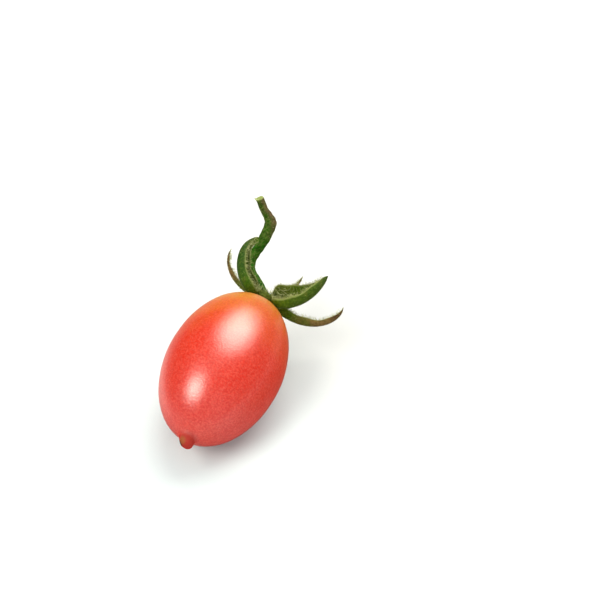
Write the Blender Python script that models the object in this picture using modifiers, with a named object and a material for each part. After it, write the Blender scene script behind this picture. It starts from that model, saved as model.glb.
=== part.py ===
"""A pink cherry tomato as picked: an egg-shaped fruit with a nipple, its calyx of five curled sepals and its
stalk, lying on a small flat spot. Metres, +Z up, the origin at the middle of that spot. +Y runs along the
fruit towards its stem end.

The fruit, the calyx and the stalk hang on one empty, fruit_axis, whose own +Z is the fruit's axis. Its +X is
the world's +X and its +Y points down, so an azimuth there turns from +X towards the floor."""

import random
from collections import namedtuple
from math import asin, atan2, cos, pi, radians, sin, sqrt, tan

import bmesh
import bpy
from mathutils import Vector

# Fruit: an egg of revolution about its axis, nose slightly down
BODY_HALF = 0.0230
BODY_RADIUS = 0.0149
AXIS_TILT = radians(8)
BODY_SIDES = 48
BODY_RINGS = 26

# Fruit: fuller at its sides and three slight lobes, neither of which moves the belly
SIDE_SWELL = 0.008
LOBE_SWELL = 0.004

# Fruit: hollow at the stem end
DIMPLE_DEPTH = 0.0016
DIMPLE_RADIUS = 0.0062

# Fruit: nipple at the blossom end, as radius and distance past the egg's own end
NIPPLE_OUTLINE = (
    (0.00352, -0.00050),
    (0.00294, -0.00014),
    (0.00248, 0.00030),
    (0.00214, 0.00085),
    (0.00190, 0.00150),
    (0.00168, 0.00208),
    (0.00132, 0.00252),
    (0.00076, 0.00276),
)
NIPPLE_TIP = 0.00282
NIPPLE_FLARE_RADIUS = 0.0046
NIPPLE_ROOT_DEPTH = 0.0004
NIPPLE_LEAN = radians(15)
NIPPLE_LEAN_AZIMUTH = radians(20)

# Rest spot: the flat that the belly is pressed to
SPOT_DEPTH = 0.00075
FLOOR_CUTTER_SIZE = 0.03

# Calyx: receptacle, as radius and height along the fruit's axis, top to bottom
RECEPTACLE_OUTLINE = (
    (0.00140, 0.02560),
    (0.00235, 0.02550),
    (0.00320, 0.02510),
    (0.00370, 0.02455),
    (0.00368, 0.02400),
    (0.00330, 0.02345),
    (0.00285, 0.02290),
    (0.00265, 0.02235),
)
RECEPTACLE_TOP = 0.02562
RECEPTACLE_FOOT_RADIUS = 0.0024
RECEPTACLE_SIDES = 28
TOUCH_GAP = 0.0003

# Calyx: sepals, each a lance-shaped blade with rolled and slightly waved margins
SEPAL_THICKNESS = 0.00065
SEPAL_ROOT_RADIUS = 0.0014
SEPAL_ROOT_HEIGHT = 0.02475
SEPAL_STATIONS = 28
SEPAL_ACROSS = 6
SEPAL_ROOT_HALF = 0.0020
SEPAL_ROOT_BLENDS_BY = 0.20
SEPAL_NARROW_SHARE = 0.6
SEPAL_WIDEST_AT = 0.28
SEPAL_TAPER = 0.85
SEPAL_TIP_SHARE = 0.1
SEPAL_TIGHTEST_ROLL = 0.0009
SEPAL_ROOT_ROLL = 0.3
SEPAL_ROLLS_OVER = 0.18
SEPAL_TWISTED_BY = 0.16
MARGIN_WAVE = 0.00022
MARGIN_WAVES = 24
MARGIN_NOTCH = 0.00012
MARGIN_NOTCHES = 17
SEPAL_SEED = 7

# Each sepal: azimuth and how far it sways round, length and flat width, its rise off the fruit's cross plane
# with how that curls and hooks on its way out, the roll of each margin, and the twist of the blade. Angles are
# in degrees.
Sepal = namedtuple("Sepal", "azimuth sway length width rise curl hook roll twist")
SEPALS = (
    Sepal(azimuth=28, sway=-44, length=0.0251, width=0.0056, rise=-19, curl=41, hook=85, roll=84, twist=25),
    Sepal(azimuth=62, sway=-24, length=0.0182, width=0.0039, rise=40, curl=58, hook=-8, roll=55, twist=-2),
    Sepal(azimuth=190, sway=17, length=0.0182, width=0.0023, rise=-2, curl=78, hook=16, roll=80, twist=3),
    Sepal(azimuth=236, sway=-4, length=0.0239, width=0.0093, rise=-45, curl=221, hook=-48, roll=139, twist=-76),
    Sepal(azimuth=5, sway=-60, length=0.0203, width=0.0133, rise=-12, curl=68, hook=40, roll=112, twist=81),
)

# Pedicel: the plain hole that it stands in, then the route of its middle, in the axes of fruit_axis, with its
# radius there. The knuckle is the thickest place, and the cut end comes last.
SOCKET_RADIUS = 0.0016
SOCKET_DEPTH = 0.0009
SOCKET_SIDES = 24
PEDICEL_ROUTE = (
    (0.0000, 0.0000, 0.0250, 0.00125),
    (-0.0001, 0.0000, 0.0263, 0.00118),
    (-0.0028, -0.0014, 0.0286, 0.00118),
    (-0.0057, -0.0024, 0.0310, 0.00126),
    (-0.0066, -0.0036, 0.0341, 0.00132),
    (-0.0053, -0.0059, 0.0381, 0.00142),
    (-0.0044, -0.0090, 0.0424, 0.00160),
    (-0.0055, -0.0104, 0.0439, 0.00132),
    (-0.0071, -0.0118, 0.0449, 0.00108),
    (-0.0088, -0.0138, 0.0465, 0.00112),
)
PEDICEL_RESOLUTION = 3
PEDICEL_BEVEL_RESOLUTION = 3


def smooth_step(value):
    """0 below 0, 1 above 1 and an even curve between."""
    value = min(max(value, 0.0), 1.0)
    return value * value * (3 - 2 * value)


def clear_scene():
    for old in list(bpy.data.objects):
        bpy.data.objects.remove(old, do_unlink=True)


def new_collection(name):
    collection = bpy.data.collections.new(name)
    bpy.context.scene.collection.children.link(collection)
    return collection


def new_material(name, colour, roughness):
    material = bpy.data.materials.new(name)
    material.use_nodes = True
    shader = material.node_tree.nodes["Principled BSDF"]
    shader.inputs["Base Color"].default_value = (*colour, 1.0)
    shader.inputs["Roughness"].default_value = roughness
    shader.inputs["Metallic"].default_value = 0.0
    return material


def new_object(name, data, collection, axis):
    """An object in that collection that hangs on the fruit's axis."""
    piece = bpy.data.objects.new(name, data)
    piece.parent = axis
    collection.objects.link(piece)
    return piece


def outline_mesh(name, outline):
    """An open line of edges through (radius, height) points, for Screw to turn."""
    line = bmesh.new()
    verts = [line.verts.new((radius, 0.0, height)) for radius, height in outline]
    for upper, lower in zip(verts, verts[1:]):
        line.edges.new((upper, lower))
    mesh = bpy.data.meshes.new(name)
    line.to_mesh(mesh)
    line.free()
    return mesh


def turn(piece, sides):
    screw = piece.modifiers.new("turned", "SCREW")
    screw.axis = "Z"
    screw.steps = sides
    screw.render_steps = sides
    screw.use_merge_vertices = True
    screw.merge_threshold = 0.00001
    screw.use_smooth_shade = True


def apply_modifiers(piece):
    """Gives the object the mesh that its modifiers make."""
    evaluated = piece.evaluated_get(bpy.context.evaluated_depsgraph_get())
    mesh = bpy.data.meshes.new_from_object(evaluated)
    piece.modifiers.clear()
    piece.data = mesh


def shade(mesh):
    mesh.shade_smooth()
    mesh.set_sharp_from_angle(angle=radians(50))


def belly_point():
    """Height of the fruit's middle above its lowest point, and how far that point lies towards the stem."""
    rise = BODY_HALF * sin(AXIS_TILT)
    width = BODY_RADIUS * cos(AXIS_TILT)
    height = sqrt(rise**2 + width**2)
    towards_nose = (BODY_HALF**2 - BODY_RADIUS**2) * sin(AXIS_TILT) * cos(AXIS_TILT) / height
    return height, -towards_nose


def add_fruit_axis(collection):
    """The empty at the fruit's middle, tilted nose down."""
    height, belly_y = belly_point()
    axis = bpy.data.objects.new("fruit_axis", None)
    axis.empty_display_size = BODY_HALF
    axis.location = (0.0, -belly_y, height - SPOT_DEPTH)
    axis.rotation_euler = (AXIS_TILT - pi / 2, 0.0, 0.0)
    collection.objects.link(axis)
    return axis


def fruit_outline():
    """Half the fruit's outline, from the hollow at its stem end to the tip of its nipple."""
    end_angle = pi - asin(NIPPLE_FLARE_RADIUS / BODY_RADIUS)
    outline = []
    for ring in range(BODY_RINGS + 1):
        angle = end_angle * ring / BODY_RINGS
        radius = BODY_RADIUS * sin(angle)
        height = BODY_HALF * cos(angle)
        if angle < pi / 2:
            height -= DIMPLE_DEPTH * (1 - smooth_step(radius / DIMPLE_RADIUS))
        outline.append((radius, height))
    outline += [(radius, -BODY_HALF - past) for radius, past in NIPPLE_OUTLINE]
    outline.append((0.0, -BODY_HALF - NIPPLE_TIP))
    return outline


def grow_unevenly(point):
    """Where growth puts a point of the turned fruit: fuller sides, slight lobes, a nipple that leans."""
    azimuth = atan2(point.y, point.x)
    side = SIDE_SWELL * (1 + cos(2 * azimuth))
    lobes = LOBE_SWELL * (1 + sin(3 * azimuth))
    swell = 1 + side - lobes
    past_end = max(0.0, NIPPLE_ROOT_DEPTH - point.z - BODY_HALF)
    lean = tan(NIPPLE_LEAN) * past_end
    return Vector((
        point.x * swell + lean * cos(NIPPLE_LEAN_AZIMUTH),
        point.y * swell + lean * sin(NIPPLE_LEAN_AZIMUTH),
        point.z,
    ))


def put_away(name, cutters):
    """Names the primitive just made and hides it among the cutters."""
    cutter = bpy.context.object
    cutter.name = name
    cutter.hide_render = True
    cutter.display_type = "WIRE"
    for owner in list(cutter.users_collection):
        owner.objects.unlink(cutter)
    cutters.objects.link(cutter)
    return cutter


def add_floor_cutter(cutters):
    """The box under the floor that flattens the belly."""
    size = FLOOR_CUTTER_SIZE
    bpy.ops.mesh.primitive_cube_add(size=size, location=(0.0, 0.0, -size / 2))
    return put_away("floor_cutter", cutters)


def add_fruit(collection, cutters, axis):
    fruit = new_object("fruit", outline_mesh("fruit", fruit_outline()), collection, axis)
    turn(fruit, BODY_SIDES)
    apply_modifiers(fruit)
    for vertex in fruit.data.vertices:
        vertex.co = grow_unevenly(vertex.co)
    flat = fruit.modifiers.new("rest_spot", "BOOLEAN")
    flat.operation = "DIFFERENCE"
    flat.solver = "EXACT"
    flat.object = add_floor_cutter(cutters)
    apply_modifiers(fruit)
    shade(fruit.data)
    fruit.data.materials.append(new_material("ripe_skin", (0.78, 0.13, 0.08), 0.32))
    return fruit


def sepal_half_width(sepal, along):
    """Half the flat width at a share of the sepal's length: a lance shape on a root as wide as all the others."""
    swell = SEPAL_NARROW_SHARE + (1 - SEPAL_NARROW_SHARE) * smooth_step(along / SEPAL_WIDEST_AT)
    taper = (1 - along**2) ** SEPAL_TAPER
    lance = sepal.width / 2 * (swell * taper + SEPAL_TIP_SHARE)
    return SEPAL_ROOT_HALF + (lance - SEPAL_ROOT_HALF) * smooth_step(along / SEPAL_ROOT_BLENDS_BY)


def sepal_direction(sepal, along):
    """Heading and pitch of the sepal's middle at a share of its length."""
    heading = radians(sepal.azimuth + sepal.sway * along)
    pitch = radians(sepal.rise + sepal.curl * along + sepal.hook * along**3)
    return heading, pitch


def sepal_spine(sepal):
    """Points down the middle of a sepal, from its root to its tip."""
    azimuth = radians(sepal.azimuth)
    point = Vector((SEPAL_ROOT_RADIUS * cos(azimuth), SEPAL_ROOT_RADIUS * sin(azimuth), SEPAL_ROOT_HEIGHT))
    spine = [point.copy()]
    step = sepal.length / SEPAL_STATIONS
    for station in range(SEPAL_STATIONS):
        heading, pitch = sepal_direction(sepal, (station + 0.5) / SEPAL_STATIONS)
        point += step * Vector((cos(pitch) * cos(heading), cos(pitch) * sin(heading), sin(pitch)))
        spine.append(point.copy())
    return spine


def sepal_point(sepal, spine, along, across, phase):
    """A point of the curled blade. across runs from -1 to 1, and the margins roll in towards the stalk."""
    point = spine[round(along * SEPAL_STATIONS)]
    heading, pitch = sepal_direction(sepal, along)
    turn_angle = radians(sepal.twist) * smooth_step(along / SEPAL_TWISTED_BY)
    level = Vector((-sin(heading), cos(heading), 0.0))
    facing = Vector((-sin(pitch) * cos(heading), -sin(pitch) * sin(heading), cos(pitch)))
    side = level * cos(turn_angle) + facing * sin(turn_angle)
    inward = facing * cos(turn_angle) - level * sin(turn_angle)
    notch = MARGIN_NOTCH * sin(MARGIN_NOTCHES * along + phase + 2 * across) * sin(pi * along)
    half = sepal_half_width(sepal, along) + notch
    roll = min(radians(sepal.roll), half / SEPAL_TIGHTEST_ROLL)
    roll *= smooth_step(SEPAL_ROOT_ROLL + along / SEPAL_ROLLS_OVER)
    bend = half / roll
    wave = MARGIN_WAVE * sin(MARGIN_WAVES * along + phase * (2 + across)) * sin(pi * along) * across**2
    return point + side * bend * sin(roll * across) + inward * (bend * (1 - cos(roll * across)) + wave)


def add_sepal(number, sepal, phase, collection, axis):
    """One sepal: a flat grid curled into a boat-shaped blade, then thickened alike on both faces."""
    blade = bmesh.new()
    bmesh.ops.create_grid(blade, x_segments=SEPAL_STATIONS, y_segments=SEPAL_ACROSS, size=1.0)
    spine = sepal_spine(sepal)
    for vertex in blade.verts:
        vertex.co = sepal_point(sepal, spine, (vertex.co.x + 1) / 2, vertex.co.y, phase)
    bmesh.ops.triangulate(blade, faces=blade.faces[:])
    mesh = bpy.data.meshes.new(f"sepal_{number}")
    blade.to_mesh(mesh)
    blade.free()
    piece = new_object(f"sepal_{number}", mesh, collection, axis)
    wall = piece.modifiers.new("thickness", "SOLIDIFY")
    wall.thickness = SEPAL_THICKNESS
    wall.offset = 0.0
    return piece


def add_socket_cutter(cutters, axis):
    """The plain hole in the receptacle that the stalk stands in."""
    bpy.ops.mesh.primitive_cylinder_add(vertices=SOCKET_SIDES, radius=SOCKET_RADIUS, depth=2 * SOCKET_DEPTH)
    cutter = put_away("socket_cutter", cutters)
    cutter.parent = axis
    cutter.location = (0.0, 0.0, RECEPTACLE_TOP)
    return cutter


def add_calyx(collection, cutters, axis):
    """The receptacle with its five sepals, fused, over the hollow of the fruit."""
    floor_height = BODY_HALF - DIMPLE_DEPTH + TOUCH_GAP
    foot = [(RECEPTACLE_FOOT_RADIUS, floor_height), (0.0, floor_height)]
    outline = [(0.0, RECEPTACLE_TOP), *RECEPTACLE_OUTLINE, *foot]
    calyx = new_object("calyx", outline_mesh("calyx", outline), collection, axis)
    turn(calyx, RECEPTACLE_SIDES)
    sepals = new_collection("sepals")
    draw = random.Random(SEPAL_SEED)
    for number, sepal in enumerate(SEPALS, 1):
        add_sepal(number, sepal, draw.uniform(0, 2 * pi), sepals, axis)
    join = calyx.modifiers.new("sepals", "BOOLEAN")
    join.operation = "UNION"
    join.solver = "EXACT"
    join.operand_type = "COLLECTION"
    join.collection = sepals
    socket = calyx.modifiers.new("socket", "BOOLEAN")
    socket.operation = "DIFFERENCE"
    socket.solver = "EXACT"
    socket.object = add_socket_cutter(cutters, axis)
    apply_modifiers(calyx)
    for used in list(sepals.objects):
        bpy.data.objects.remove(used, do_unlink=True)
    bpy.data.collections.remove(sepals)
    shade(calyx.data)
    calyx.data.materials.append(new_material("sepal_green", (0.07, 0.16, 0.04), 0.6))
    return calyx


def add_pedicel(collection, axis):
    """The stalk: a tube that swells at its knuckle and ends in a flat cut."""
    curve = bpy.data.curves.new("pedicel", "CURVE")
    curve.dimensions = "3D"
    curve.resolution_u = PEDICEL_RESOLUTION
    curve.bevel_resolution = PEDICEL_BEVEL_RESOLUTION
    curve.bevel_depth = 1.0
    curve.use_fill_caps = True
    spline = curve.splines.new("BEZIER")
    spline.bezier_points.add(len(PEDICEL_ROUTE) - 1)
    for knot, (x, y, z, radius) in zip(spline.bezier_points, PEDICEL_ROUTE):
        knot.co = (x, y, z)
        knot.radius = radius
        knot.handle_left_type = "AUTO"
        knot.handle_right_type = "AUTO"
    pedicel = new_object("pedicel", curve, collection, axis)
    curve.materials.append(new_material("stalk_green", (0.10, 0.20, 0.06), 0.6))
    return pedicel


def main():
    clear_scene()
    collection = new_collection("pink_cherry_tomato")
    cutters = new_collection("cutters")
    axis = add_fruit_axis(collection)
    bpy.context.view_layer.update()
    add_fruit(collection, cutters, axis)
    add_calyx(collection, cutters, axis)
    add_pedicel(collection, axis)


main()
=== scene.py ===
"""A pink cherry tomato as picked, lying on a pale floor: the looks of its skin, calyx and stalk."""

import random
from math import asin, atan2, cos, exp, pi, radians, sin, sqrt, tan

import bmesh
import bpy
from mathutils import Matrix, Vector, noise


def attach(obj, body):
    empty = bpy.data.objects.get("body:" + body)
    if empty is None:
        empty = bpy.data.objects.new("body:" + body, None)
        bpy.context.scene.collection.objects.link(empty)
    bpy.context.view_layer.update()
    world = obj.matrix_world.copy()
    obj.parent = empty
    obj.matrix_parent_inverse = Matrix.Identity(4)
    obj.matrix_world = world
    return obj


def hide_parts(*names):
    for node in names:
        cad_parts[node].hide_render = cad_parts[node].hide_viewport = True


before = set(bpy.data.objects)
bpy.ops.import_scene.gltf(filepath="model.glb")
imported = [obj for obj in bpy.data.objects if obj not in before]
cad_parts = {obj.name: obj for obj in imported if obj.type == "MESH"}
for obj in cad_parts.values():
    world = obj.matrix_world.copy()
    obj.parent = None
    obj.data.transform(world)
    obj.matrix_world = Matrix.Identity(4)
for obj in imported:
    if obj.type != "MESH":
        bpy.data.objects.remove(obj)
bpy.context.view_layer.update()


# The fruit's axis
# Everything on the tomato grows along one axis, tilted nose down. In its own frame +Z runs to the
# stem end, +X is the world's +X and +Y points to the floor, so azimuths turn from +X to the floor.

BODY_HALF = 0.0230
BODY_RADIUS = 0.0149
AXIS_TILT = radians(8)
SPOT_DEPTH = 0.00075

belly_height = sqrt((BODY_HALF * sin(AXIS_TILT)) ** 2 + (BODY_RADIUS * cos(AXIS_TILT)) ** 2)
belly_shift = (BODY_HALF**2 - BODY_RADIUS**2) * sin(AXIS_TILT) * cos(AXIS_TILT) / belly_height
fruit_middle = Vector((0.0, belly_shift, belly_height - SPOT_DEPTH))
axis_frame = Matrix.Translation(fruit_middle) @ Matrix.Rotation(AXIS_TILT - pi / 2, 4, "X")


# View of the photograph
# A long lens looks down on the fruit from beyond its nose. The fruit's middle falls where the
# photograph has it, and the lens's distance gives the fruit its size there.

PHOTO_SIDE = 600
FRUIT_PIXEL = (224.4, 367.8)
PIXELS_PER_METRE = 3920
VIEW_AZIMUTH = radians(22.25)
VIEW_ELEVATION = radians(41.75)
LENS = 100
SENSOR = 36

lens_pixels = LENS / SENSOR * PHOTO_SIDE
distance = lens_pixels / PIXELS_PER_METRE
view_back = Vector((
    sin(VIEW_AZIMUTH) * cos(VIEW_ELEVATION),
    -cos(VIEW_AZIMUTH) * cos(VIEW_ELEVATION),
    sin(VIEW_ELEVATION),
))
view_right = Vector((cos(VIEW_AZIMUTH), sin(VIEW_AZIMUTH), 0.0))
view_up = view_back.cross(view_right)
to_right = (FRUIT_PIXEL[0] - PHOTO_SIDE / 2) / PIXELS_PER_METRE
to_top = (PHOTO_SIDE / 2 - FRUIT_PIXEL[1]) / PIXELS_PER_METRE

camera = bpy.data.objects.new("camera", bpy.data.cameras.new("camera"))
bpy.context.scene.collection.objects.link(camera)
camera.matrix_world = Matrix((view_right, view_up, view_back)).transposed().to_4x4()
camera.location = fruit_middle + view_back * distance - view_right * to_right - view_up * to_top
camera.data.lens = LENS
camera.data.sensor_width = SENSOR
camera.data.clip_start = 0.01
bpy.context.scene.camera = camera


# Floor
# A matt white table, so wide that it fills the view. Close to the fruit its white is cooler, which
# balances the red light from the skin. What the skin reflects of it is a painted reflection, dimmer
# than the table: painted bright to the left, dimmer in front and nearly black to the right.

FLOOR_HALF = 3.0
FLOOR_DROP = 0.00002
FLOOR_COLOUR = (0.60, 0.615, 0.62)
FLOOR_NEAR = (0.60, 0.675, 0.70)
NEAR_MIDDLE = (0.0, -0.005, 0.0)
NEAR_REACH = 0.048
FLOOR_REFLECTION_COLOUR = (0.34, 0.27, 0.27)
PAINTED_REFLECTION_BRIGHT = (0.86, 0.76, 0.76)
REFLECTION_BRIGHT_MIDDLE = (-0.055, -0.005, 0.0)
REFLECTION_BRIGHT_REACH = 0.050
PAINTED_REFLECTION_DARK = (0.04, 0.03, 0.02)
REFLECTION_DARK_MIDDLE = (0.060, 0.035, 0.0)
REFLECTION_DARK_REACH = 0.075
FADE_SHARE = 0.3


def add_node(material, kind, **settings):
    """A shader node of that kind in the material or node group, with its settings."""
    tree = getattr(material, "node_tree", None) or material
    made = tree.nodes.new(kind)
    for setting, value in settings.items():
        setattr(made, setting, value)
    return made


def join(material, source, target):
    """Feeds a socket from another socket, or sets it to a plain value."""
    if isinstance(source, bpy.types.NodeSocket):
        tree = getattr(material, "node_tree", None) or material
        tree.links.new(source, target)
    else:
        target.default_value = source


def new_material(name, roughness, **shader_values):
    """A material and its Principled shader, with values that are the same all over the surface."""
    material = bpy.data.materials.new(name)
    material.use_nodes = True
    shader = material.node_tree.nodes["Principled BSDF"]
    shader.inputs["Roughness"].default_value = roughness
    for socket, value in shader_values.items():
        shader.inputs[socket.replace("_", " ")].default_value = value
    return material, shader


def blend_colour(material, share, first, second):
    """The first colour, with a share of the second."""
    made = add_node(material, "ShaderNodeMix", data_type="RGBA")
    join(material, share, made.inputs["Factor"])
    for socket, colour in (("A", first), ("B", second)):
        target = next(s for s in made.inputs if s.name == socket and s.type == "RGBA")
        join(material, (*colour, 1.0) if isinstance(colour, tuple) else colour, target)
    return next(s for s in made.outputs if s.type == "RGBA")


def object_place(material):
    """Object coordinates, which are the world's, since every piece's object is at the origin."""
    return add_node(material, "ShaderNodeTexCoord").outputs["Object"]


def mapped(material, value, start, end, first, last, curve="LINEAR"):
    """The value's course from start to end, brought to run from first to last."""
    made = add_node(material, "ShaderNodeMapRange", interpolation_type=curve)
    join(material, value, made.inputs["Value"])
    for socket, limit in (("From Min", start), ("From Max", end), ("To Min", first), ("To Max", last)):
        join(material, limit, made.inputs[socket])
    return made.outputs["Result"]


def nearness(material, place, point, reach):
    """1 near a point, fading to 0 at its reach."""
    apart = add_node(material, "ShaderNodeVectorMath", operation="DISTANCE")
    join(material, place, apart.inputs[0])
    join(material, point, apart.inputs[1])
    return mapped(material, apart.outputs["Value"], reach, reach * FADE_SHARE, 0.0, 1.0, "SMOOTHSTEP")


floor_mesh = bmesh.new()
bmesh.ops.create_grid(floor_mesh, x_segments=1, y_segments=1, size=FLOOR_HALF)
bmesh.ops.translate(floor_mesh, verts=floor_mesh.verts, vec=(0.0, 0.0, -FLOOR_DROP))
floor_data = bpy.data.meshes.new("floor")
floor_mesh.to_mesh(floor_data)
floor_mesh.free()
floor = bpy.data.objects.new("floor", floor_data)
bpy.context.scene.collection.objects.link(floor)
floor_white, floor_shader = new_material("floor_white", 0.9, Specular_IOR_Level=0.0)
floor_place = object_place(floor_white)
# Glossy rays see a painted reflection: a bright patch to the left and a dark one to the right.
reflection_dark_spot = nearness(floor_white, floor_place, REFLECTION_DARK_MIDDLE, REFLECTION_DARK_REACH)
reflection_bright_spot = nearness(floor_white, floor_place, REFLECTION_BRIGHT_MIDDLE, REFLECTION_BRIGHT_REACH)
floor_reflection = blend_colour(floor_white, reflection_bright_spot, FLOOR_REFLECTION_COLOUR, PAINTED_REFLECTION_BRIGHT)
floor_reflection = blend_colour(floor_white, reflection_dark_spot, floor_reflection, PAINTED_REFLECTION_DARK)
floor_path = add_node(floor_white, "ShaderNodeLightPath")
floor_near = nearness(floor_white, floor_place, NEAR_MIDDLE, NEAR_REACH)
floor_seen = blend_colour(floor_white, floor_near, FLOOR_COLOUR, FLOOR_NEAR)
floor_colour = blend_colour(floor_white, floor_path.outputs["Is Glossy Ray"], floor_seen, floor_reflection)
join(floor_white, floor_colour, floor_shader.inputs["Base Color"])
floor_data.materials.append(floor_white)


# Light
# A white studio: a broad soft box behind and over the fruit and a smaller one in front to the left,
# each with a brighter middle that only shines in the skin. A weak fill stands to the right, and the
# walls all round are white.

WALL_LIGHT = 0.74
WALL_SHINE = 0.03
BOX_COLOUR = (1.0, 0.965, 0.86)

# Name, direction and distance from the fruit, size, power, and whether it lights and shines.
SOFT_BOXES = (
    ("back_box", (0.10, 0.58, 0.81), 0.75, 0.80, 6.2, True, True),
    ("back_box_middle", (0.08, 0.59, 0.81), 0.74, 0.44, 3.2, False, True),
    ("front_box", (-0.31, -0.58, 0.74), 0.70, 0.42, 3.8, True, True),
    ("front_box_middle", (-0.33, -0.58, 0.74), 0.69, 0.18, 0.6, False, True),
    ("fill_box", (0.70, -0.60, 0.38), 0.70, 0.50, 1.5, True, False),
)

world = bpy.data.worlds.new("studio")
bpy.context.scene.world = world
world.use_nodes = True
wall = world.node_tree.nodes["Background"]
wall.inputs["Color"].default_value = (1.0, 1.0, 1.0, 1.0)
seen = add_node(world, "ShaderNodeLightPath")
wall_strength = mapped(world, seen.outputs["Is Glossy Ray"], 0.0, 1.0, WALL_LIGHT, WALL_SHINE)
join(world, wall_strength, wall.inputs["Strength"])

for name, direction, reach, size, power, lights, shines in SOFT_BOXES:
    lamp = bpy.data.lights.new(name, "AREA")
    lamp.shape = "DISK"
    lamp.size = size
    lamp.energy = power
    lamp.color = BOX_COLOUR
    box = bpy.data.objects.new(name, lamp)
    bpy.context.scene.collection.objects.link(box)
    box.visible_diffuse = lights
    box.visible_glossy = shines
    box.location = fruit_middle + Vector(direction).normalized() * reach
    box.rotation_mode = "QUATERNION"
    box.rotation_quaternion = Vector(direction).to_track_quat("Z", "Y")

bpy.context.scene.view_settings.view_transform = "Standard"


# Fruit
# One berry with a thin waxy skin: an egg with a shallow hollow at the stem end, a small nipple at
# the blossom end that leans to one side, and a flat where the belly presses the table.

SKIN_SIDES = 200
EGG_RINGS = 120
CURVE_STEPS = 6
SIDE_SWELL = 0.008
LOBE_SWELL = 0.004
DIMPLE_DEPTH = 0.0016
DIMPLE_RADIUS = 0.0062
NIPPLE_TIP = 0.00282
NIPPLE_FLARE_RADIUS = 0.0046
NIPPLE_ROOT_DEPTH = 0.0004
NIPPLE_LEAN = radians(15)
NIPPLE_LEAN_AZIMUTH = radians(20)
CREASE_DEPTH = 0.05
CREASE_HEIGHT = -0.0235
CREASE_WIDTH = 0.0006
DENT_DEPTH = 0.00007
DENT_SIZE = 0.007

# Radius, and distance past the end of the egg, from the nipple's flare to its tip.
NIPPLE_OUTLINE = (
    (0.00352, -0.00050),
    (0.00294, -0.00014),
    (0.00248, 0.00030),
    (0.00214, 0.00085),
    (0.00190, 0.00150),
    (0.00168, 0.00208),
    (0.00132, 0.00252),
    (0.00076, 0.00276),
)

# The ground colours run from the ripe pink blossom end to the orange shoulder round the stalk, over
# a span counted in half lengths of the fruit. Across X they also shift, towards orange at -X and red
# at +X: a painted sheen on the -X side and painted shade on the +X side.
RIPE_COLOURS = (
    (0.07, (0.48, 0.028, 0.018)),
    (0.12, (0.50, 0.028, 0.022)),
    (0.28, (0.52, 0.015, 0.003)),
    (0.47, (0.52, 0.018, 0.001)),
    (0.59, (0.52, 0.050, 0.001)),
    (0.71, (0.53, 0.125, 0.007)),
    (0.83, (0.54, 0.270, 0.026)),
    (0.93, (0.50, 0.310, 0.050)),
)
RIPENING_SPAN = 2.4
SIDE_SHEEN_AND_SHADE = 12.0
CLOUD_SWAY = 0.16
STREAK_SWAY = 0.14
FLECKS_PER_METRE = 1900.0
FLECK_SHARE = 0.42
FLECK_COLOUR = (0.68, 0.115, 0.075)
PITS_PER_METRE = 2200.0
PIT_SHARE = 0.30
PIT_COLOUR = (0.30, 0.004, 0.001)
STREAK_SHARE = 0.18
STREAK_COLOUR = (0.42, 0.008, 0.002)

# Middle, reach, share and colour of each: the nipple's deeper red, its olive side and the dark scar
# where the style broke off.
NOSE_SPOTS = (
    ((0.0009, -0.0010, -0.0252), 0.0037, 0.95, (0.27, 0.014, 0.007)),
    ((-0.0003, -0.0012, -0.0252), 0.0015, 0.75, (0.25, 0.070, 0.014)),
    ((-0.0009, 0.0002, -0.0254), 0.0012, 0.95, (0.05, 0.030, 0.008)),
)


def smooth_step(value):
    """0 below 0, 1 above 1 and an even curve between."""
    value = min(max(value, 0.0), 1.0)
    return value * value * (3 - 2 * value)


def smooth_through(points, steps):
    """A fine line through the points, with that many steps from each to the next."""
    ends = [2 * points[0] - points[1], *points, 2 * points[-1] - points[-2]]
    line = []
    for before, here, there, after in zip(ends, ends[1:], ends[2:], ends[3:]):
        for step in range(steps):
            t = step / steps
            line.append(0.5 * (
                2 * here
                + (there - before) * t
                + (2 * before - 5 * here + 4 * there - after) * t**2
                + (3 * here - before - 3 * there + after) * t**3
            ))
    line.append(points[-1].copy())
    return line


def spin_outline(outline, sides):
    """A closed turned body from (radius, height) points that start and end on the axis."""
    body = bmesh.new()
    verts = [body.verts.new((max(point.x, 0.0), 0.0, point.y)) for point in outline]
    edges = [body.edges.new(pair) for pair in zip(verts, verts[1:])]
    bmesh.ops.spin(
        body, geom=[*verts, *edges], cent=(0, 0, 0), axis=(0, 0, 1), dvec=(0, 0, 0),
        angle=2 * pi, steps=sides, use_merge=True, use_duplicate=False,
    )
    bmesh.ops.remove_doubles(body, verts=body.verts, dist=0.000001)
    bmesh.ops.recalc_face_normals(body, faces=body.faces)
    return body


def finish_piece(shape, name, node, slot, *materials):
    """Makes the bmesh a smooth piece that rides on the root body and may replace a node."""
    data = bpy.data.meshes.new(name)
    shape.to_mesh(data)
    shape.free()
    data.shade_smooth()
    for material in materials:
        data.materials.append(material)
    piece = bpy.data.objects.new(name, data)
    bpy.context.scene.collection.objects.link(piece)
    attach(piece, "root")
    if node:
        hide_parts(node)


def grow_unevenly(point):
    """Where growth puts a point of the turned egg: fuller sides, lobes, a leaning nipple, soft dents."""
    azimuth = atan2(point.y, point.x)
    swell = 1 + SIDE_SWELL * (1 + cos(2 * azimuth)) - LOBE_SWELL * (1 + sin(3 * azimuth))
    from_crease = (point.z - CREASE_HEIGHT) / CREASE_WIDTH
    swell -= CREASE_DEPTH * exp(-(from_crease**2)) * smooth_step(cos(azimuth - NIPPLE_LEAN_AZIMUTH))
    lean = tan(NIPPLE_LEAN) * max(0.0, NIPPLE_ROOT_DEPTH - point.z - BODY_HALF)
    dent = 1 + DENT_DEPTH / BODY_RADIUS * noise.noise(point / DENT_SIZE)
    return Vector((
        point.x * swell * dent + lean * cos(NIPPLE_LEAN_AZIMUTH),
        point.y * swell * dent + lean * sin(NIPPLE_LEAN_AZIMUTH),
        point.z,
    ))


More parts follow.
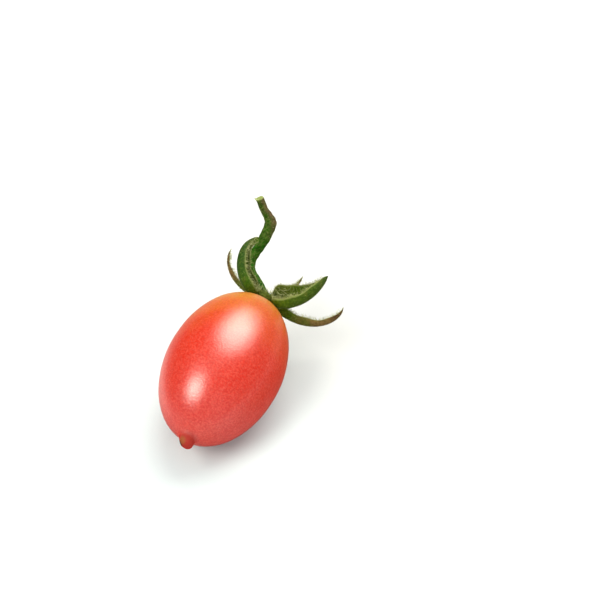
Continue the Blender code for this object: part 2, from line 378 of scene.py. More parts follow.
end_angle = pi - asin(NIPPLE_FLARE_RADIUS / BODY_RADIUS)
egg = []
for ring in range(EGG_RINGS + 1):
    angle = end_angle * ring / EGG_RINGS
    egg_point = Vector((BODY_RADIUS * sin(angle), BODY_HALF * cos(angle)))
    if angle < pi / 2:
        egg_point.y -= DIMPLE_DEPTH * (1 - smooth_step(egg_point.x / DIMPLE_RADIUS))
    egg.append(egg_point)
nipple = [egg[-1], *(Vector((radius, -BODY_HALF - past)) for radius, past in NIPPLE_OUTLINE)]
nipple.append(Vector((0.0, -BODY_HALF - NIPPLE_TIP)))
skin = spin_outline(egg[:-1] + smooth_through(nipple, CURVE_STEPS), SKIN_SIDES)
for vertex in skin.verts:
    vertex.co = axis_frame @ grow_unevenly(vertex.co)
    vertex.co.z = max(vertex.co.z, 0.0)

ripe_skin, skin_shader = new_material(
    "ripe_skin", 0.34, IOR=1.50, Specular_IOR_Level=0.85, Subsurface_Weight=0.06,
    Subsurface_Radius=(1.0, 0.30, 0.15), Subsurface_Scale=0.002,
)


def maths(material, operation, first, second=0.0, third=0.0):
    """The result of a Math node."""
    made = add_node(material, "ShaderNodeMath", operation=operation)
    for socket, value in zip(made.inputs, (first, second, third)):
        join(material, value, socket)
    return made.outputs["Value"]


def vector_maths(material, operation, first, second=(0.0, 0.0, 0.0)):
    """The result of a Vector Math node."""
    made = add_node(material, "ShaderNodeVectorMath", operation=operation)
    join(material, first, made.inputs[0])
    join(material, second, made.inputs[1])
    return made.outputs["Vector"]


def ramp(material, value, *stops):
    """Colours along a value, each stop a place and a colour."""
    made = add_node(material, "ShaderNodeValToRGB")
    made.color_ramp.interpolation = "EASE"
    elements = made.color_ramp.elements
    while len(elements) < len(stops):
        elements.new(0.5)
    for element, (place, colour) in zip(elements, stops):
        element.position = place
        element.color = (*colour, 1.0)
    join(material, value, made.inputs["Fac"])
    return made.outputs["Color"]


def new_group(name, inputs, outputs):
    """An empty node group with named sockets, and its input and output nodes."""
    group = bpy.data.node_groups.new(name, "ShaderNodeTree")
    for socket, kind in inputs:
        group.interface.new_socket(socket, in_out="INPUT", socket_type=kind)
    for socket, kind in outputs:
        group.interface.new_socket(socket, in_out="OUTPUT", socket_type=kind)
    return group, add_node(group, "NodeGroupInput"), add_node(group, "NodeGroupOutput")


# A mottle is soft noise spread to a mask from 0 to 1, used by the skin and the green parts alike.
mottle, mottle_in, mottle_out = new_group(
    "mottle",
    (("Vector", "NodeSocketVector"), ("Scale", "NodeSocketFloat"), ("Contrast", "NodeSocketFloat")),
    (("Mask", "NodeSocketFloat"),),
)
mottle_noise = add_node(mottle, "ShaderNodeTexNoise")
join(mottle, mottle_in.outputs["Vector"], mottle_noise.inputs["Vector"])
join(mottle, mottle_in.outputs["Scale"], mottle_noise.inputs["Scale"])
join(mottle, 3.0, mottle_noise.inputs["Detail"])
spread = maths(mottle, "SUBTRACT", mottle_noise.outputs["Fac"], 0.5)
spread = maths(mottle, "MULTIPLY_ADD", spread, mottle_in.outputs["Contrast"], 0.5)
spread = maths(mottle, "MINIMUM", maths(mottle, "MAXIMUM", spread, 0.0), 1.0)
join(mottle, spread, mottle_out.inputs["Mask"])


def mottled(material, vector, scale, contrast):
    """The mask of a mottle of that scale, in patches per unit of the vector."""
    made = add_node(material, "ShaderNodeGroup", node_tree=mottle)
    for socket, value in (("Vector", vector), ("Scale", scale), ("Contrast", contrast)):
        join(material, value, made.inputs[socket])
    return made.outputs["Mask"]


def tinted(material, ground, mask, share, colour):
    """The ground, with that share of the colour where the mask is 1."""
    return blend_colour(material, maths(material, "MULTIPLY", mask, share), ground, colour)


def grain(material, shader, mask, strength, depth):
    """Lets the mask stand up from the surface by that depth."""
    bump = add_node(material, "ShaderNodeBump")
    join(material, strength, bump.inputs["Strength"])
    join(material, depth, bump.inputs["Distance"])
    join(material, mask, bump.inputs["Height"])
    join(material, bump.outputs["Normal"], shader.inputs["Normal"])


def along_axis(material):
    """Object coordinates turned into the fruit's own frame."""
    into = add_node(material, "ShaderNodeMapping", vector_type="POINT")
    back = axis_frame.inverted()
    into.inputs["Location"].default_value = back.to_translation()
    into.inputs["Rotation"].default_value = back.to_euler()
    join(material, object_place(material), into.inputs["Vector"])
    return into.outputs["Vector"]


own_place = along_axis(ripe_skin)
own_parts = add_node(ripe_skin, "ShaderNodeSeparateXYZ")
join(ripe_skin, own_place, own_parts.inputs["Vector"])
height = maths(ripe_skin, "DIVIDE", own_parts.outputs["Z"], BODY_HALF)

# Streaks run from pole to pole: their noise turns with the azimuth and hardly changes along the axis.
outward = vector_maths(ripe_skin, "MULTIPLY", own_place, (1.0, 1.0, 0.0))
outward = vector_maths(ripe_skin, "NORMALIZE", outward)
outward_parts = add_node(ripe_skin, "ShaderNodeSeparateXYZ")
join(ripe_skin, outward, outward_parts.inputs["Vector"])
streak_place = add_node(ripe_skin, "ShaderNodeCombineXYZ")
join(ripe_skin, outward_parts.outputs["X"], streak_place.inputs["X"])
join(ripe_skin, outward_parts.outputs["Y"], streak_place.inputs["Y"])
join(ripe_skin, maths(ripe_skin, "MULTIPLY", height, 0.22), streak_place.inputs["Z"])
streaks = mottled(ripe_skin, streak_place.outputs["Vector"], 9.0, 2.2)
clouds = mottled(ripe_skin, own_place, 110.0, 2.0)
fleck_place = vector_maths(ripe_skin, "MULTIPLY", own_place, (1.0, 1.0, 1.5))
flecks = mottled(ripe_skin, fleck_place, FLECKS_PER_METRE, 5.5)
pits = mottled(ripe_skin, own_place, PITS_PER_METRE, 6.0)

cloud_swing = maths(ripe_skin, "SUBTRACT", clouds, 0.5)
streak_swing = maths(ripe_skin, "SUBTRACT", streaks, 0.5)
unripe_and_side_light = maths(ripe_skin, "MULTIPLY_ADD", cloud_swing, CLOUD_SWAY, height)
unripe_and_side_light = maths(ripe_skin, "MULTIPLY_ADD", streak_swing, STREAK_SWAY, unripe_and_side_light)
# The shift across X is painted sheen towards -X and painted shade towards +X.
unripe_and_side_light = maths(ripe_skin, "MULTIPLY_ADD", own_parts.outputs["X"], -SIDE_SHEEN_AND_SHADE, unripe_and_side_light)
unripe_and_side_light = maths(ripe_skin, "MULTIPLY_ADD", unripe_and_side_light, 1 / RIPENING_SPAN, 0.5)
skin_colour = ramp(ripe_skin, unripe_and_side_light, *RIPE_COLOURS)
skin_colour = tinted(ripe_skin, skin_colour, flecks, FLECK_SHARE, FLECK_COLOUR)
skin_colour = tinted(ripe_skin, skin_colour, pits, PIT_SHARE, PIT_COLOUR)
skin_colour = tinted(ripe_skin, skin_colour, streaks, STREAK_SHARE, STREAK_COLOUR)
for middle, reach, share, shade in NOSE_SPOTS:
    spot = nearness(ripe_skin, own_place, middle, reach)
    skin_colour = tinted(ripe_skin, skin_colour, spot, share, shade)
join(ripe_skin, skin_colour, skin_shader.inputs["Base Color"])

# The nipple is duller than the skin, and the waxy bloom dulls the skin where it is seen aslant.
dull_nose = mapped(ripe_skin, height, -0.98, -1.03, 0.27, 0.70)
roughness = maths(ripe_skin, "MULTIPLY_ADD", clouds, 0.06, dull_nose)
join(ripe_skin, roughness, skin_shader.inputs["Roughness"])
aslant = add_node(ripe_skin, "ShaderNodeLayerWeight").outputs["Facing"]
bloom_shine = mapped(ripe_skin, aslant, 0.22, 0.75, 0.95, 0.22)
nose_shine = mapped(ripe_skin, height, -1.0, -1.04, 1.0, 0.3)
shine = maths(ripe_skin, "MULTIPLY", bloom_shine, nose_shine)
join(ripe_skin, shine, skin_shader.inputs["Specular IOR Level"])
grain(ripe_skin, skin_shader, flecks, 0.20, 0.00005)
finish_piece(skin, "fruit_skin", "fruit", "skin", ripe_skin)


# Calyx
# A raised green receptacle is seated in the fruit's hollow. Its five sepals are lance-shaped blades
# with rolled, waved margins, swept back from the fruit and curled at their tips, where three of them
# have begun to dry. One margin of the widest flares back near its root.

# Radius and height, from the middle of the top round the rim to the middle of the foot.
RECEPTACLE_OUTLINE = (
    (0.00000, 0.02500),
    (0.00140, 0.02535),
    (0.00235, 0.02540),
    (0.00320, 0.02510),
    (0.00370, 0.02455),
    (0.00368, 0.02400),
    (0.00330, 0.02345),
    (0.00285, 0.02290),
    (0.00265, 0.02235),
    (0.00260, 0.02140),
    (0.00000, 0.02120),
)
RECEPTACLE_SIDES = 96
RECEPTACLE_RADIUS = 0.003
RECEPTACLE_ROUGH = 0.00012
RECEPTACLE_GRAIN = 0.0011
BLADE_THICKNESS = 0.00042
MARGIN_THICKNESS = 0.00016
BLADE_THINS_OVER = 0.35
TIP_THINS_OVER = 0.12
MIDRIB_HEIGHT = 0.00022
MIDRIB_WIDTH = 0.13
SEPAL_ROOT_RADIUS = 0.0014
SEPAL_ROOT_HEIGHT = 0.02475
SEPAL_STATIONS = 90
SEPAL_ACROSS = 20
SEPAL_ROOT_HALF = 0.0020
SEPAL_ROOT_BLENDS_BY = 0.20
SEPAL_EAR = 0.0013
SEPAL_EAR_DROOP = 0.45
SEPAL_EAR_FULL_AT = 0.10
SEPAL_EAR_ENDS_AT = 0.45
EARED_WIDTH = 0.010
SEPAL_NARROW_SHARE = 0.6
SEPAL_WIDEST_AT = 0.28
SEPAL_ROOT_ROLL = 0.3
SEPAL_ROLLS_OVER = 0.18
SEPAL_TAPER = 0.85
SEPAL_TIP_SHARE = 0.06
SEPAL_TIGHTEST_ROLL = 0.0007
SEPAL_TWISTED_BY = 0.16
BLADE_STEP = 0.004
MARGIN_WAVE = 0.00012
MARGIN_WAVES = 24
MARGIN_NOTCH = 0.00009
MARGIN_NOTCHES = 17
GROWTH_SEED = 7

# Azimuth, sway, length, width, rise, curl, hook, roll, twist and the share of the length that is
# still green. Angles are in degrees, and a share past 1 keeps the whole blade green.
SEPALS = (
    (28, -44, 0.0251, 0.0056, -19, 41, 85, 84, 25, 0.22),
    (62, -24, 0.0182, 0.0039, 40, 58, -8, 55, -2, 0.50),
    (190, 17, 0.0182, 0.0023, -2, 78, 16, 80, 3, 0.05),
    (236, -4, 0.0239, 0.0093, -45, 221, -48, 139, -76, 1.30),
    (5, -60, 0.0203, 0.0133, -12, 68, 40, 112, 81, 1.30),
)


class Blade:
    """One sepal's curled middle surface, in the fruit's own frame."""

    def __init__(self, azimuth, sway, length, width, rise, curl, hook, roll, twist, green, phase):
        self.azimuth = radians(azimuth)
        self.sway = radians(sway)
        self.width = width
        self.bend = (rise, curl, hook)
        self.roll = radians(roll)
        self.twist = radians(twist)
        self.green = green
        self.withers_over = max(1 - green, 0.1)
        self.phase = phase
        point = Vector((cos(self.azimuth), sin(self.azimuth), 0.0)) * SEPAL_ROOT_RADIUS
        point.z = SEPAL_ROOT_HEIGHT
        self.spine = [point.copy()]
        for station in range(SEPAL_STATIONS):
            heading, pitch = self.direction((station + 0.5) / SEPAL_STATIONS)
            step = Vector((cos(pitch) * cos(heading), cos(pitch) * sin(heading), sin(pitch)))
            point += step * length / SEPAL_STATIONS
            self.spine.append(point.copy())

    def direction(self, along):
        """Heading and pitch of the spine at a share of its length."""
        rise, curl, hook = self.bend
        return self.azimuth + self.sway * along, radians(rise + curl * along + hook * along**3)

    def half_width(self, along):
        """Half the flat width: a lance shape with a blunt root."""
        swell = SEPAL_NARROW_SHARE + (1 - SEPAL_NARROW_SHARE) * smooth_step(along / SEPAL_WIDEST_AT)
        taper = max(1 - along**2, 0.0) ** SEPAL_TAPER
        blade = self.width / 2 * (swell * taper + SEPAL_TIP_SHARE)
        return SEPAL_ROOT_HALF + (blade - SEPAL_ROOT_HALF) * smooth_step(along / SEPAL_ROOT_BLENDS_BY)

    def middle(self, along):
        """The spine's point at a share of its length, between two stations where need be."""
        place = along * SEPAL_STATIONS
        station = min(int(place), SEPAL_STATIONS - 1)
        return self.spine[station].lerp(self.spine[station + 1], place - station)

    def point(self, along, across):
        """A point of the blade. across runs from -1 to 1, and the margins roll in towards the stalk."""
        heading, pitch = self.direction(along)
        turn = self.twist * smooth_step(along / SEPAL_TWISTED_BY)
        level = Vector((-sin(heading), cos(heading), 0.0))
        facing = Vector((-sin(pitch) * cos(heading), -sin(pitch) * sin(heading), cos(pitch)))
        side = level * cos(turn) + facing * sin(turn)
        inward = facing * cos(turn) - level * sin(turn)
        notch = MARGIN_NOTCH * sin(MARGIN_NOTCHES * along + self.phase + 2 * across)
        half = self.half_width(along) + notch * sin(pi * along)
        roll = min(self.roll, half / SEPAL_TIGHTEST_ROLL)
        roll *= smooth_step(SEPAL_ROOT_ROLL + along / SEPAL_ROLLS_OVER)
        bend = half / roll
        wave = MARGIN_WAVE * sin(MARGIN_WAVES * along + self.phase * (2 + across))
        wave *= sin(pi * along) * across**2
        lift = bend * (1 - cos(roll * across)) + wave
        ear = SEPAL_EAR * smooth_step(across) if self.width > EARED_WIDTH else 0.0
        ear *= smooth_step(along / SEPAL_EAR_FULL_AT)
        ear *= smooth_step((SEPAL_EAR_ENDS_AT - along) / (SEPAL_EAR_ENDS_AT - SEPAL_EAR_FULL_AT))
        back = inward.cross(side) - side * SEPAL_EAR_DROOP
        return self.middle(along) + side * bend * sin(roll * across) + inward * lift + back * ear

    def inward(self, along, across):
        """The direction out of the blade's inner face."""
        step = BLADE_STEP
        forward = self.point(min(along + step, 1.0), across) - self.point(max(along - step, 0.0), across)
        sideways = self.point(along, min(across + step, 1.0))
        sideways -= self.point(along, max(across - step, -1.0))
        return forward.cross(sideways).normalized()


def add_blade(calyx, blade):
    """Adds one sepal to the calyx: a flat grid curled on the blade, then given two faces."""
    along_layer, across_layer, inner_layer, dry_layer = layers
    made = bmesh.ops.create_grid(calyx, x_segments=SEPAL_STATIONS, y_segments=SEPAL_ACROSS, size=1.0)
    outer = made["verts"]
    for vertex in outer:
        along, across = (vertex.co.x + 1) / 2, vertex.co.y
        vertex[along_layer] = along
        vertex[across_layer] = across
        vertex[inner_layer] = 0.0
        vertex[dry_layer] = min(max((along - blade.green) / blade.withers_over, 0.0), 1.0)
    faces = list({face for vertex in outer for face in vertex.link_faces})
    grown = bmesh.ops.extrude_face_region(calyx, geom=faces, use_keep_orig=True)
    inner = [item for item in grown["geom"] if isinstance(item, bmesh.types.BMVert)]
    for vertex in inner:
        vertex[inner_layer] = 1.0
    for vertex in (*outer, *inner):
        along, across = vertex[along_layer], vertex[across_layer]
        full = smooth_step((1 - abs(across)) / BLADE_THINS_OVER)
        full *= smooth_step((1 - along) / TIP_THINS_OVER)
        half = (MARGIN_THICKNESS + (BLADE_THICKNESS - MARGIN_THICKNESS) * full) / 2
        rib = MIDRIB_HEIGHT * exp(-((across / MIDRIB_WIDTH) ** 2)) * (1 - along)
        out = half if vertex[inner_layer] > 0.5 else -half - rib
        vertex.co = blade.point(along, across) + blade.inward(along, across) * out


receptacle = smooth_through([Vector(point) for point in RECEPTACLE_OUTLINE], CURVE_STEPS)
calyx = spin_outline(receptacle, RECEPTACLE_SIDES)
layers = [calyx.verts.layers.float.new(name) for name in ("along", "across", "inner", "dry")]
for vertex in calyx.verts:
    out = Vector((vertex.co.x, vertex.co.y, 0.0))
    vertex.co += out * noise.noise(vertex.co / RECEPTACLE_GRAIN) * RECEPTACLE_ROUGH / RECEPTACLE_RADIUS
draw = random.Random(GROWTH_SEED)
blades = [Blade(*sepal, draw.uniform(0, 2 * pi)) for sepal in SEPALS]
for blade in blades:
    add_blade(calyx, blade)
bmesh.ops.recalc_face_normals(calyx, faces=calyx.faces)
bmesh.ops.transform(calyx, matrix=axis_frame, verts=calyx.verts)

# Fine pale hairs stand on the sepals' margins and faces and on the receptacle, longest near the
# sepals' roots. Each kind has a number of hairs for a blade, and its shortest and longest length.
HAIR_SIDES = 3
HAIR_STATIONS = 4
HAIR_ROOT_SHARE = 0.045
HAIR_TIP_SHARE = 0.012
HAIR_BEND = 0.35
HAIR_SINK = 0.00005
MARGIN_HAIRS = 480
MARGIN_HAIR = (0.0003, 0.0011)
INNER_HAIRS = 300
INNER_HAIR = (0.0006, 0.0022)
SWEPT_HAIRS = 90
SWEPT_HAIR = (0.0016, 0.0036)
OUTER_HAIRS = 400
OUTER_HAIR = (0.0003, 0.0007)
RECEPTACLE_HAIRS = 300
RECEPTACLE_HAIR = (0.0008, 0.0021)
RECEPTACLE_TOP = 0.0252
RECEPTACLE_TOP_RADIUS = 0.0036
HAIR_COLOURS = ((0.2, (0.18, 0.21, 0.05)), (0.8, (0.46, 0.49, 0.20)))


def hair_pattern():
    """One hair, 1 unit long, bent to one side."""
    hair = bmesh.new()
    bmesh.ops.create_cone(
        hair, cap_ends=False, segments=HAIR_SIDES, depth=1.0,
        radius1=HAIR_ROOT_SHARE, radius2=HAIR_TIP_SHARE,
    )
    bmesh.ops.translate(hair, verts=hair.verts, vec=(0.0, 0.0, 0.5))
    rails = [edge for edge in hair.edges if abs(edge.verts[0].co.z - edge.verts[1].co.z) > 0.5]
    bmesh.ops.subdivide_edges(hair, edges=rails, cuts=HAIR_STATIONS - 1, use_grid_fill=False)
    for vertex in hair.verts:
        vertex.co.x += HAIR_BEND * vertex.co.z**2
    bmesh.ops.holes_fill(hair, edges=[edge for edge in hair.edges if edge.is_boundary])
    pattern = bpy.data.meshes.new("hair_pattern")
    hair.to_mesh(pattern)
    hair.free()
    return pattern


def add_hair(coat, root, direction, length):
    """Adds one hair to the coat, with its root just under the surface and bent to any side."""
    direction = direction.normalized()
    stand = direction.to_track_quat("Z", "Y").to_matrix().to_4x4()
    turn = Matrix.Rotation(draw.uniform(0, 2 * pi), 4, "Z")
    place = Matrix.Translation(root - direction * HAIR_SINK) @ stand @ turn @ Matrix.Scale(length, 4)
    hair = pattern.copy()
    hair.transform(place)
    coat.from_mesh(hair)
    bpy.data.meshes.remove(hair)


def any_way():
    """A random direction."""
    way = Vector((draw.gauss(0, 1), draw.gauss(0, 1), draw.gauss(0, 1)))
    return way.normalized()


def margin_hair(blade):
    """Place, direction and length of a hair that stands out from a margin."""
    along, across = draw.uniform(0.05, 0.93), draw.choice((-1.0, 1.0))
    outward = blade.point(along, across) - blade.point(along, across * 0.9)
    return along, across, outward.normalized() + any_way() * 0.5, draw.uniform(*MARGIN_HAIR)


def inner_hair(blade):
    """The same for a hair of the hollow, longer towards the root."""
    along, across = draw.uniform(0.02, 0.8) ** 1.3, draw.uniform(-0.95, 0.95)
    direction = blade.inward(along, across) + any_way() * 0.6
    return along, across, direction, draw.uniform(*INNER_HAIR) * (1.1 - along)


def swept_hair(blade):
    """The same for one of the long hairs that sweep along the blade from its root."""
    along, across = draw.uniform(0.02, 0.20), draw.uniform(-0.98, 0.98)
    forward = blade.middle(along + 0.1) - blade.middle(along)
    direction = forward.normalized() + blade.inward(along, across) * 0.5 + any_way() * 0.25
    return along, across, direction, draw.uniform(*SWEPT_HAIR)


def outer_hair(blade):
    """The same for a short hair on the outer face."""
    along, across = draw.uniform(0.05, 0.95), draw.uniform(-0.98, 0.98)
    return along, across, any_way() * 0.5 - blade.inward(along, across), draw.uniform(*OUTER_HAIR)


SEPAL_COAT = (
    (margin_hair, MARGIN_HAIRS),
    (inner_hair, INNER_HAIRS),
    (swept_hair, SWEPT_HAIRS),
    (outer_hair, OUTER_HAIRS),
)

pattern = hair_pattern()
draw = random.Random(GROWTH_SEED + 2)
fuzz = bmesh.new()
for blade in blades:
    for grow, count in SEPAL_COAT:
        for _ in range(count):
            along, across, direction, length = grow(blade)
            add_hair(fuzz, blade.point(along, across), direction, length)
for _ in range(RECEPTACLE_HAIRS):
    azimuth, radius = draw.uniform(0, 2 * pi), RECEPTACLE_TOP_RADIUS * sqrt(draw.random())
    root = Vector((radius * cos(azimuth), radius * sin(azimuth), RECEPTACLE_TOP))
    direction = Vector((cos(azimuth), sin(azimuth), 1.2)) + any_way() * 0.7
    add_hair(fuzz, root, direction, draw.uniform(*RECEPTACLE_HAIR))
bmesh.ops.recalc_face_normals(fuzz, faces=fuzz.faces)
bmesh.ops.transform(fuzz, matrix=axis_frame, verts=fuzz.verts)
hair_pale, hair_shader = new_material("hair_pale", 0.45)
hair_tone = mottled(hair_pale, object_place(hair_pale), 1500.0, 2.5)
join(hair_pale, ramp(hair_pale, hair_tone, *HAIR_COLOURS), hair_shader.inputs["Base Color"])
finish_piece(fuzz, "calyx_hairs", None, "sepal", hair_pale)

# The blade's outer and inner greens run from the root to the tip.
OUTER_GREENS = (
    (0.00, (0.095, 0.080, 0.002)),
    (0.14, (0.080, 0.088, 0.002)),
    (0.30, (0.034, 0.090, 0.002)),
    (0.50, (0.018, 0.056, 0.005)),
    (1.00, (0.022, 0.046, 0.008)),
)
INNER_GREENS = ((0.0, (0.190, 0.210, 0.055)), (0.5, (0.095, 0.170, 0.014)))
PATCH_GREEN = (0.014, 0.034, 0.003)
VEIN_GREEN = (0.12, 0.18, 0.04)
VEINS = 26.0
VEIN_SLANT = -7.0
VEIN_SHARPNESS = 40.0
OLIVE_LIT_FROM = 0.0
OLIVE_LIT_BY = 0.006
OLIVE_LIT_SHARE = 0.32
OLIVE_GREEN = (0.130, 0.165, 0.002)
SPECK_GREEN = (0.095, 0.160, 0.018)
HOLLOW_GREEN = (0.010, 0.034, 0.001)
DRY_BROWNS = ((0.1, (0.170, 0.150, 0.030)), (0.5, (0.150, 0.095, 0.030)), (1.0, (0.040, 0.014, 0.006)))
CRISP_BROWN = (0.020, 0.008, 0.003)
RIM_PALE = (0.25, 0.28, 0.09)
RIM_FROM = 0.90


def painted(material, name):
    """The value of one of the piece's own attributes."""
    made = add_node(material, "ShaderNodeAttribute", attribute_name=name)
    return made.outputs["Fac"]


sepal_green, sepal_shader = new_material("sepal_green", 0.55, Specular_IOR_Level=0.06)
green_place = object_place(sepal_green)
green_patches = mottled(sepal_green, green_place, 420.0, 1.6)
green_cells = mottled(sepal_green, green_place, 2600.0, 4.0)
along_blade = painted(sepal_green, "along")
across_blade = maths(sepal_green, "ABSOLUTE", painted(sepal_green, "across"))
outer_green = ramp(sepal_green, along_blade, *OUTER_GREENS)
inner_green = ramp(sepal_green, along_blade, *INNER_GREENS)
green = blend_colour(sepal_green, painted(sepal_green, "inner"), outer_green, inner_green)
green = tinted(sepal_green, green, green_patches, 0.30, PATCH_GREEN)

# The midrib and the faint side veins that rise from it are paler.
vein_slant = maths(sepal_green, "MULTIPLY", across_blade, VEIN_SLANT)
vein_rise = maths(sepal_green, "MULTIPLY_ADD", along_blade, VEINS, vein_slant)
side_veins = maths(sepal_green, "ABSOLUTE", maths(sepal_green, "SINE", vein_rise))
side_veins = maths(sepal_green, "POWER", side_veins, VEIN_SHARPNESS)
midrib = maths(sepal_green, "SUBTRACT", 1.0, maths(sepal_green, "MULTIPLY", across_blade, 12.0))
veins = maths(sepal_green, "MAXIMUM", midrib, maths(sepal_green, "MULTIPLY", side_veins, 0.22))
green = tinted(sepal_green, green, veins, 0.4, VEIN_GREEN)

# The blades towards +X are a lighter olive, most of all at their roots: partly their own colour
# and partly painted light on that side.
green_parts = add_node(sepal_green, "ShaderNodeSeparateXYZ")
join(sepal_green, green_place, green_parts.inputs["Vector"])
olive_and_lit_side = mapped(
    sepal_green, green_parts.outputs["X"], OLIVE_LIT_FROM, OLIVE_LIT_BY, 0.0, OLIVE_LIT_SHARE, "SMOOTHSTEP")
olive = maths(sepal_green, "MULTIPLY", olive_and_lit_side, maths(sepal_green, "SUBTRACT", 1.25, along_blade))
green = blend_colour(sepal_green, olive, green, OLIVE_GREEN)

# Pale specks are the feet of hairs, and the dark ones the hollows between the cells.
green = tinted(sepal_green, green, mottled(sepal_green, green_place, 1500.0, 7.0), 0.28, SPECK_GREEN)
green = tinted(sepal_green, green, mottled(sepal_green, green_place, 1900.0, 7.0), 0.45, HOLLOW_GREEN)

# Drying turns the blade olive first and dark brown at last. Its rim stays pale.
dry_patches = maths(sepal_green, "SUBTRACT", green_patches, 0.5)
dryness = maths(sepal_green, "MULTIPLY_ADD", dry_patches, 0.4, painted(sepal_green, "dry"))
dryness = maths(sepal_green, "MINIMUM", maths(sepal_green, "MAXIMUM", dryness, 0.0), 1.0)
brown = ramp(sepal_green, dryness, *DRY_BROWNS)
brown = tinted(sepal_green, brown, mottled(sepal_green, green_place, 1700.0, 6.0), 0.45, CRISP_BROWN)
dry_share = maths(sepal_green, "MINIMUM", maths(sepal_green, "MULTIPLY", dryness, 1.8), 1.0)
green = blend_colour(sepal_green, dry_share, green, brown)
rim = maths(sepal_green, "DIVIDE", maths(sepal_green, "SUBTRACT", across_blade, RIM_FROM), 1 - RIM_FROM)
rim = maths(sepal_green, "MAXIMUM", rim, 0.0)
green = tinted(sepal_green, green, rim, 0.8, RIM_PALE)
join(sepal_green, green, sepal_shader.inputs["Base Color"])
grain(sepal_green, sepal_shader, green_cells, 0.5, 0.00010)
finish_piece(calyx, "calyx_leaves", "calyx", "sepal", sepal_green)


# Stalk
# The short hairy stalk is seated in the receptacle, swells at its knuckle, where it would part from
# the truss, and ends in a slanted cut: a pale pith inside a green rim, with a torn shred at one side.

# Place in the fruit's frame and radius, from the root up to the cut.
STALK_ROUTE = (
    (0.0000, 0.0000, 0.0244, 0.00150),
    (0.0000, 0.0000, 0.0253, 0.00136),
    (-0.0001, 0.0000, 0.0263, 0.00118),
    (-0.0028, -0.0014, 0.0286, 0.00118),
    (-0.0057, -0.0024, 0.0310, 0.00126),
    (-0.0066, -0.0036, 0.0341, 0.00132),
    (-0.0053, -0.0059, 0.0381, 0.00142),
    (-0.0044, -0.0090, 0.0424, 0.00160),
    (-0.0055, -0.0104, 0.0439, 0.00132),
    (-0.0071, -0.0118, 0.0449, 0.00108),
    (-0.0088, -0.0138, 0.0465, 0.00112),
)
STALK_SIDES = 36
STALK_STEPS = 12
STALK_RIBS = 5
STALK_RIB = 0.035
STALK_GRAIN = 0.0012
STALK_ROUGH = 0.12
CUT_RAGGED = 0.00010
CUT_TORN = 0.00030
CUT_SLANT = 0.45
CUT_SLANT_RINGS = 14
CUT_LOW_SIDE = Vector((0.28, -0.76, -0.59))
BROWN_SIDE = Vector((0.93, 0.05, 0.37))
BROWN_FROM = 0.58
BROWN_BY = 0.74
STALK_HAIRS = 900
STALK_HAIR = (0.0002, 0.0007)

# Width and rise of each ring of the cut, from its green rim to the pith.
CUT_RINGS = ((0.00010, 0.00006), (0.00022, -0.00012), (0.00030, -0.00003))

# The greens run from the root to the cut.
STALK_GREENS = (
    (0.00, (0.100, 0.120, 0.010)),
    (0.12, (0.045, 0.110, 0.002)),
    (0.30, (0.008, 0.110, 0.000)),
    (0.55, (0.014, 0.104, 0.000)),
    (0.72, (0.020, 0.066, 0.000)),
    (1.00, (0.018, 0.044, 0.001)),
)
STALK_SPECK = (0.105, 0.140, 0.030)
STALK_DARK = (0.010, 0.020, 0.001)
STALK_BROWN = (0.105, 0.062, 0.034)
PITH_COLOURS = ((0.2, (0.16, 0.21, 0.035)), (0.8, (0.31, 0.37, 0.11)))

route = smooth_through([Vector(point) for point in STALK_ROUTE], STALK_STEPS)


def stalk_frames():
    """Each place up the stalk: its middle, its radius, two directions across it and the one along it."""
    middles = [Vector(place[:3]) for place in route]
    across = Vector((1.0, 0.0, 0.0))
    frames = []
    for number, place in enumerate(route):
        before = middles[max(number - 1, 0)]
        after = middles[min(number + 1, len(route) - 1)]
        forward = (after - before).normalized()
        across = (across - forward * across.dot(forward)).normalized()
        frames.append((middles[number], place[3], across.copy(), forward.cross(across), forward))
    return frames


frames = stalk_frames()


def stalk_point(number, azimuth):
    """A point of the stalk's ribbed skin."""
    middle, radius, across, upward, forward = frames[number]
    out = across * cos(azimuth) + upward * sin(azimuth)
    rib = 1 + STALK_RIB * cos(STALK_RIBS * azimuth)
    rough = 1 + STALK_ROUGH * noise.noise((middle + out * radius) / STALK_GRAIN)
    return middle + out * radius * rib * rough


stalk = bmesh.new()
stalk_along = stalk.verts.layers.float.new("along")
stalk_browned = stalk.verts.layers.float.new("browned")
rings = []
for number in range(len(frames)):
    ring = bmesh.ops.create_circle(stalk, cap_ends=False, segments=STALK_SIDES, radius=1.0)["verts"]
    for side, vertex in enumerate(ring):
        vertex.co = stalk_point(number, 2 * pi * side / STALK_SIDES)
        along = number / (len(frames) - 1)
        vertex[stalk_along] = along
        out = (vertex.co - frames[number][0]).normalized()
        high = smooth_step((along - BROWN_FROM) / (BROWN_BY - BROWN_FROM))
        vertex[stalk_browned] = high * smooth_step(out.dot(BROWN_SIDE) + 0.3)
    rings.append(ring)
for lower, upper in zip(rings, rings[1:]):
    edges = {edge for ring in (lower, upper) for vertex in ring for edge in vertex.link_edges
             if edge.other_vert(vertex) in ring}
    bmesh.ops.bridge_loops(stalk, edges=list(edges))

# The last rings lean over by and by, so that the cut slants.
end_middle, end_forward = frames[-1][0], frames[-1][4]
for number, ring in enumerate(rings[-CUT_SLANT_RINGS:], 1):
    for vertex in ring:
        low = (vertex.co - end_middle).dot(CUT_LOW_SIDE - end_forward * CUT_LOW_SIDE.dot(end_forward))
        vertex.co -= end_forward * CUT_SLANT * low * number / CUT_SLANT_RINGS

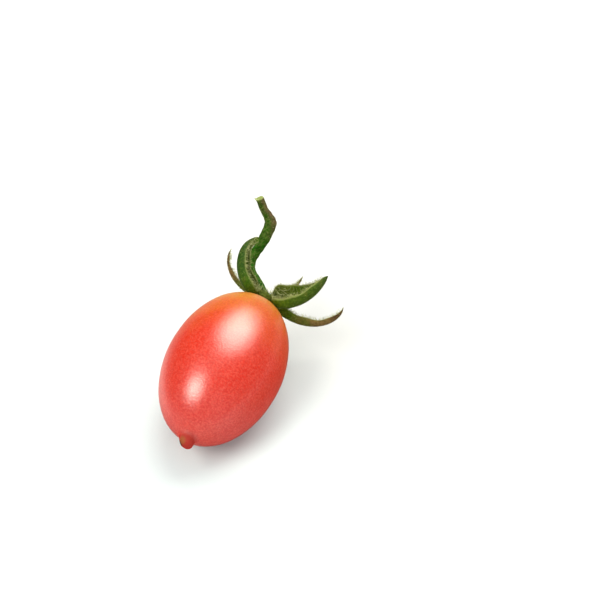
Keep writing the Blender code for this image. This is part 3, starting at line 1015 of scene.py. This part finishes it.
# The rim of the cut is ragged, with a torn shred on the side away from the brown one.
draw = random.Random(GROWTH_SEED + 1)
for vertex in rings[-1]:
    torn = smooth_step(((end_middle - vertex.co).normalized().dot(BROWN_SIDE) - 0.75) / 0.2)
    vertex.co += end_forward * (draw.uniform(-CUT_RAGGED, CUT_RAGGED) + CUT_TORN * torn)
    vertex.co -= BROWN_SIDE * CUT_TORN * torn
cut_edges = [edge for edge in stalk.edges if edge.is_boundary and edge.verts[0] in rings[-1]]
foot_edges = [edge for edge in stalk.edges if edge.is_boundary and edge.verts[0] in rings[0]]
cut_face = bmesh.ops.contextual_create(stalk, geom=cut_edges)["faces"][0]
bmesh.ops.contextual_create(stalk, geom=foot_edges)
bmesh.ops.recalc_face_normals(stalk, faces=stalk.faces)
for thickness, depth in CUT_RINGS:
    bmesh.ops.inset_region(
        stalk, faces=[cut_face], thickness=thickness, depth=depth, use_even_offset=True,
    )
    cut_face.material_index = 1
    for edge in cut_face.edges:
        for face in edge.link_faces:
            if face is not cut_face:
                face.material_index = 1
bmesh.ops.poke(stalk, faces=[cut_face])
bmesh.ops.transform(stalk, matrix=axis_frame, verts=stalk.verts)

stalk_green, stalk_shader = new_material("stalk_green", 0.55, Specular_IOR_Level=0.04)
stalk_place = object_place(stalk_green)
stalk_specks = mottled(stalk_green, stalk_place, 1500.0, 8.0)
stalk_patches = mottled(stalk_green, stalk_place, 1000.0, 5.0)
stalk_blotches = mottled(stalk_green, stalk_place, 900.0, 4.0)
stalk_cells = mottled(stalk_green, stalk_place, 1800.0, 3.0)
stalk_colour = ramp(stalk_green, painted(stalk_green, "along"), *STALK_GREENS)
stalk_colour = tinted(stalk_green, stalk_colour, stalk_specks, 0.55, STALK_SPECK)
stalk_colour = tinted(stalk_green, stalk_colour, stalk_patches, 0.50, STALK_DARK)
brown_patch = painted(stalk_green, "browned")
brown_share = maths(stalk_green, "MULTIPLY_ADD", stalk_blotches, 0.5, 0.4)
stalk_colour = tinted(stalk_green, stalk_colour, brown_patch, brown_share, STALK_BROWN)
join(stalk_green, stalk_colour, stalk_shader.inputs["Base Color"])
grain(stalk_green, stalk_shader, stalk_cells, 0.8, 0.00016)

cut_pith, pith_shader = new_material("cut_pith", 0.45)
pith_tone = mottled(cut_pith, object_place(cut_pith), 2600.0, 3.0)
join(cut_pith, ramp(cut_pith, pith_tone, *PITH_COLOURS), pith_shader.inputs["Base Color"])
finish_piece(stalk, "stalk", "pedicel", "stalk", stalk_green, cut_pith)

# Its hairs are short and stand out all round.
draw = random.Random(GROWTH_SEED + 3)
stubble = bmesh.new()
for _ in range(STALK_HAIRS):
    station, azimuth = draw.randrange(2, len(frames) - 1), draw.uniform(0, 2 * pi)
    root = stalk_point(station, azimuth)
    direction = (root - frames[station][0]).normalized() + any_way() * 0.6
    add_hair(stubble, root, direction, draw.uniform(*STALK_HAIR))
bmesh.ops.recalc_face_normals(stubble, faces=stubble.faces)
bmesh.ops.transform(stubble, matrix=axis_frame, verts=stubble.verts)
finish_piece(stubble, "stalk_hairs", None, "stalk", hair_pale)
bpy.data.meshes.remove(pattern)
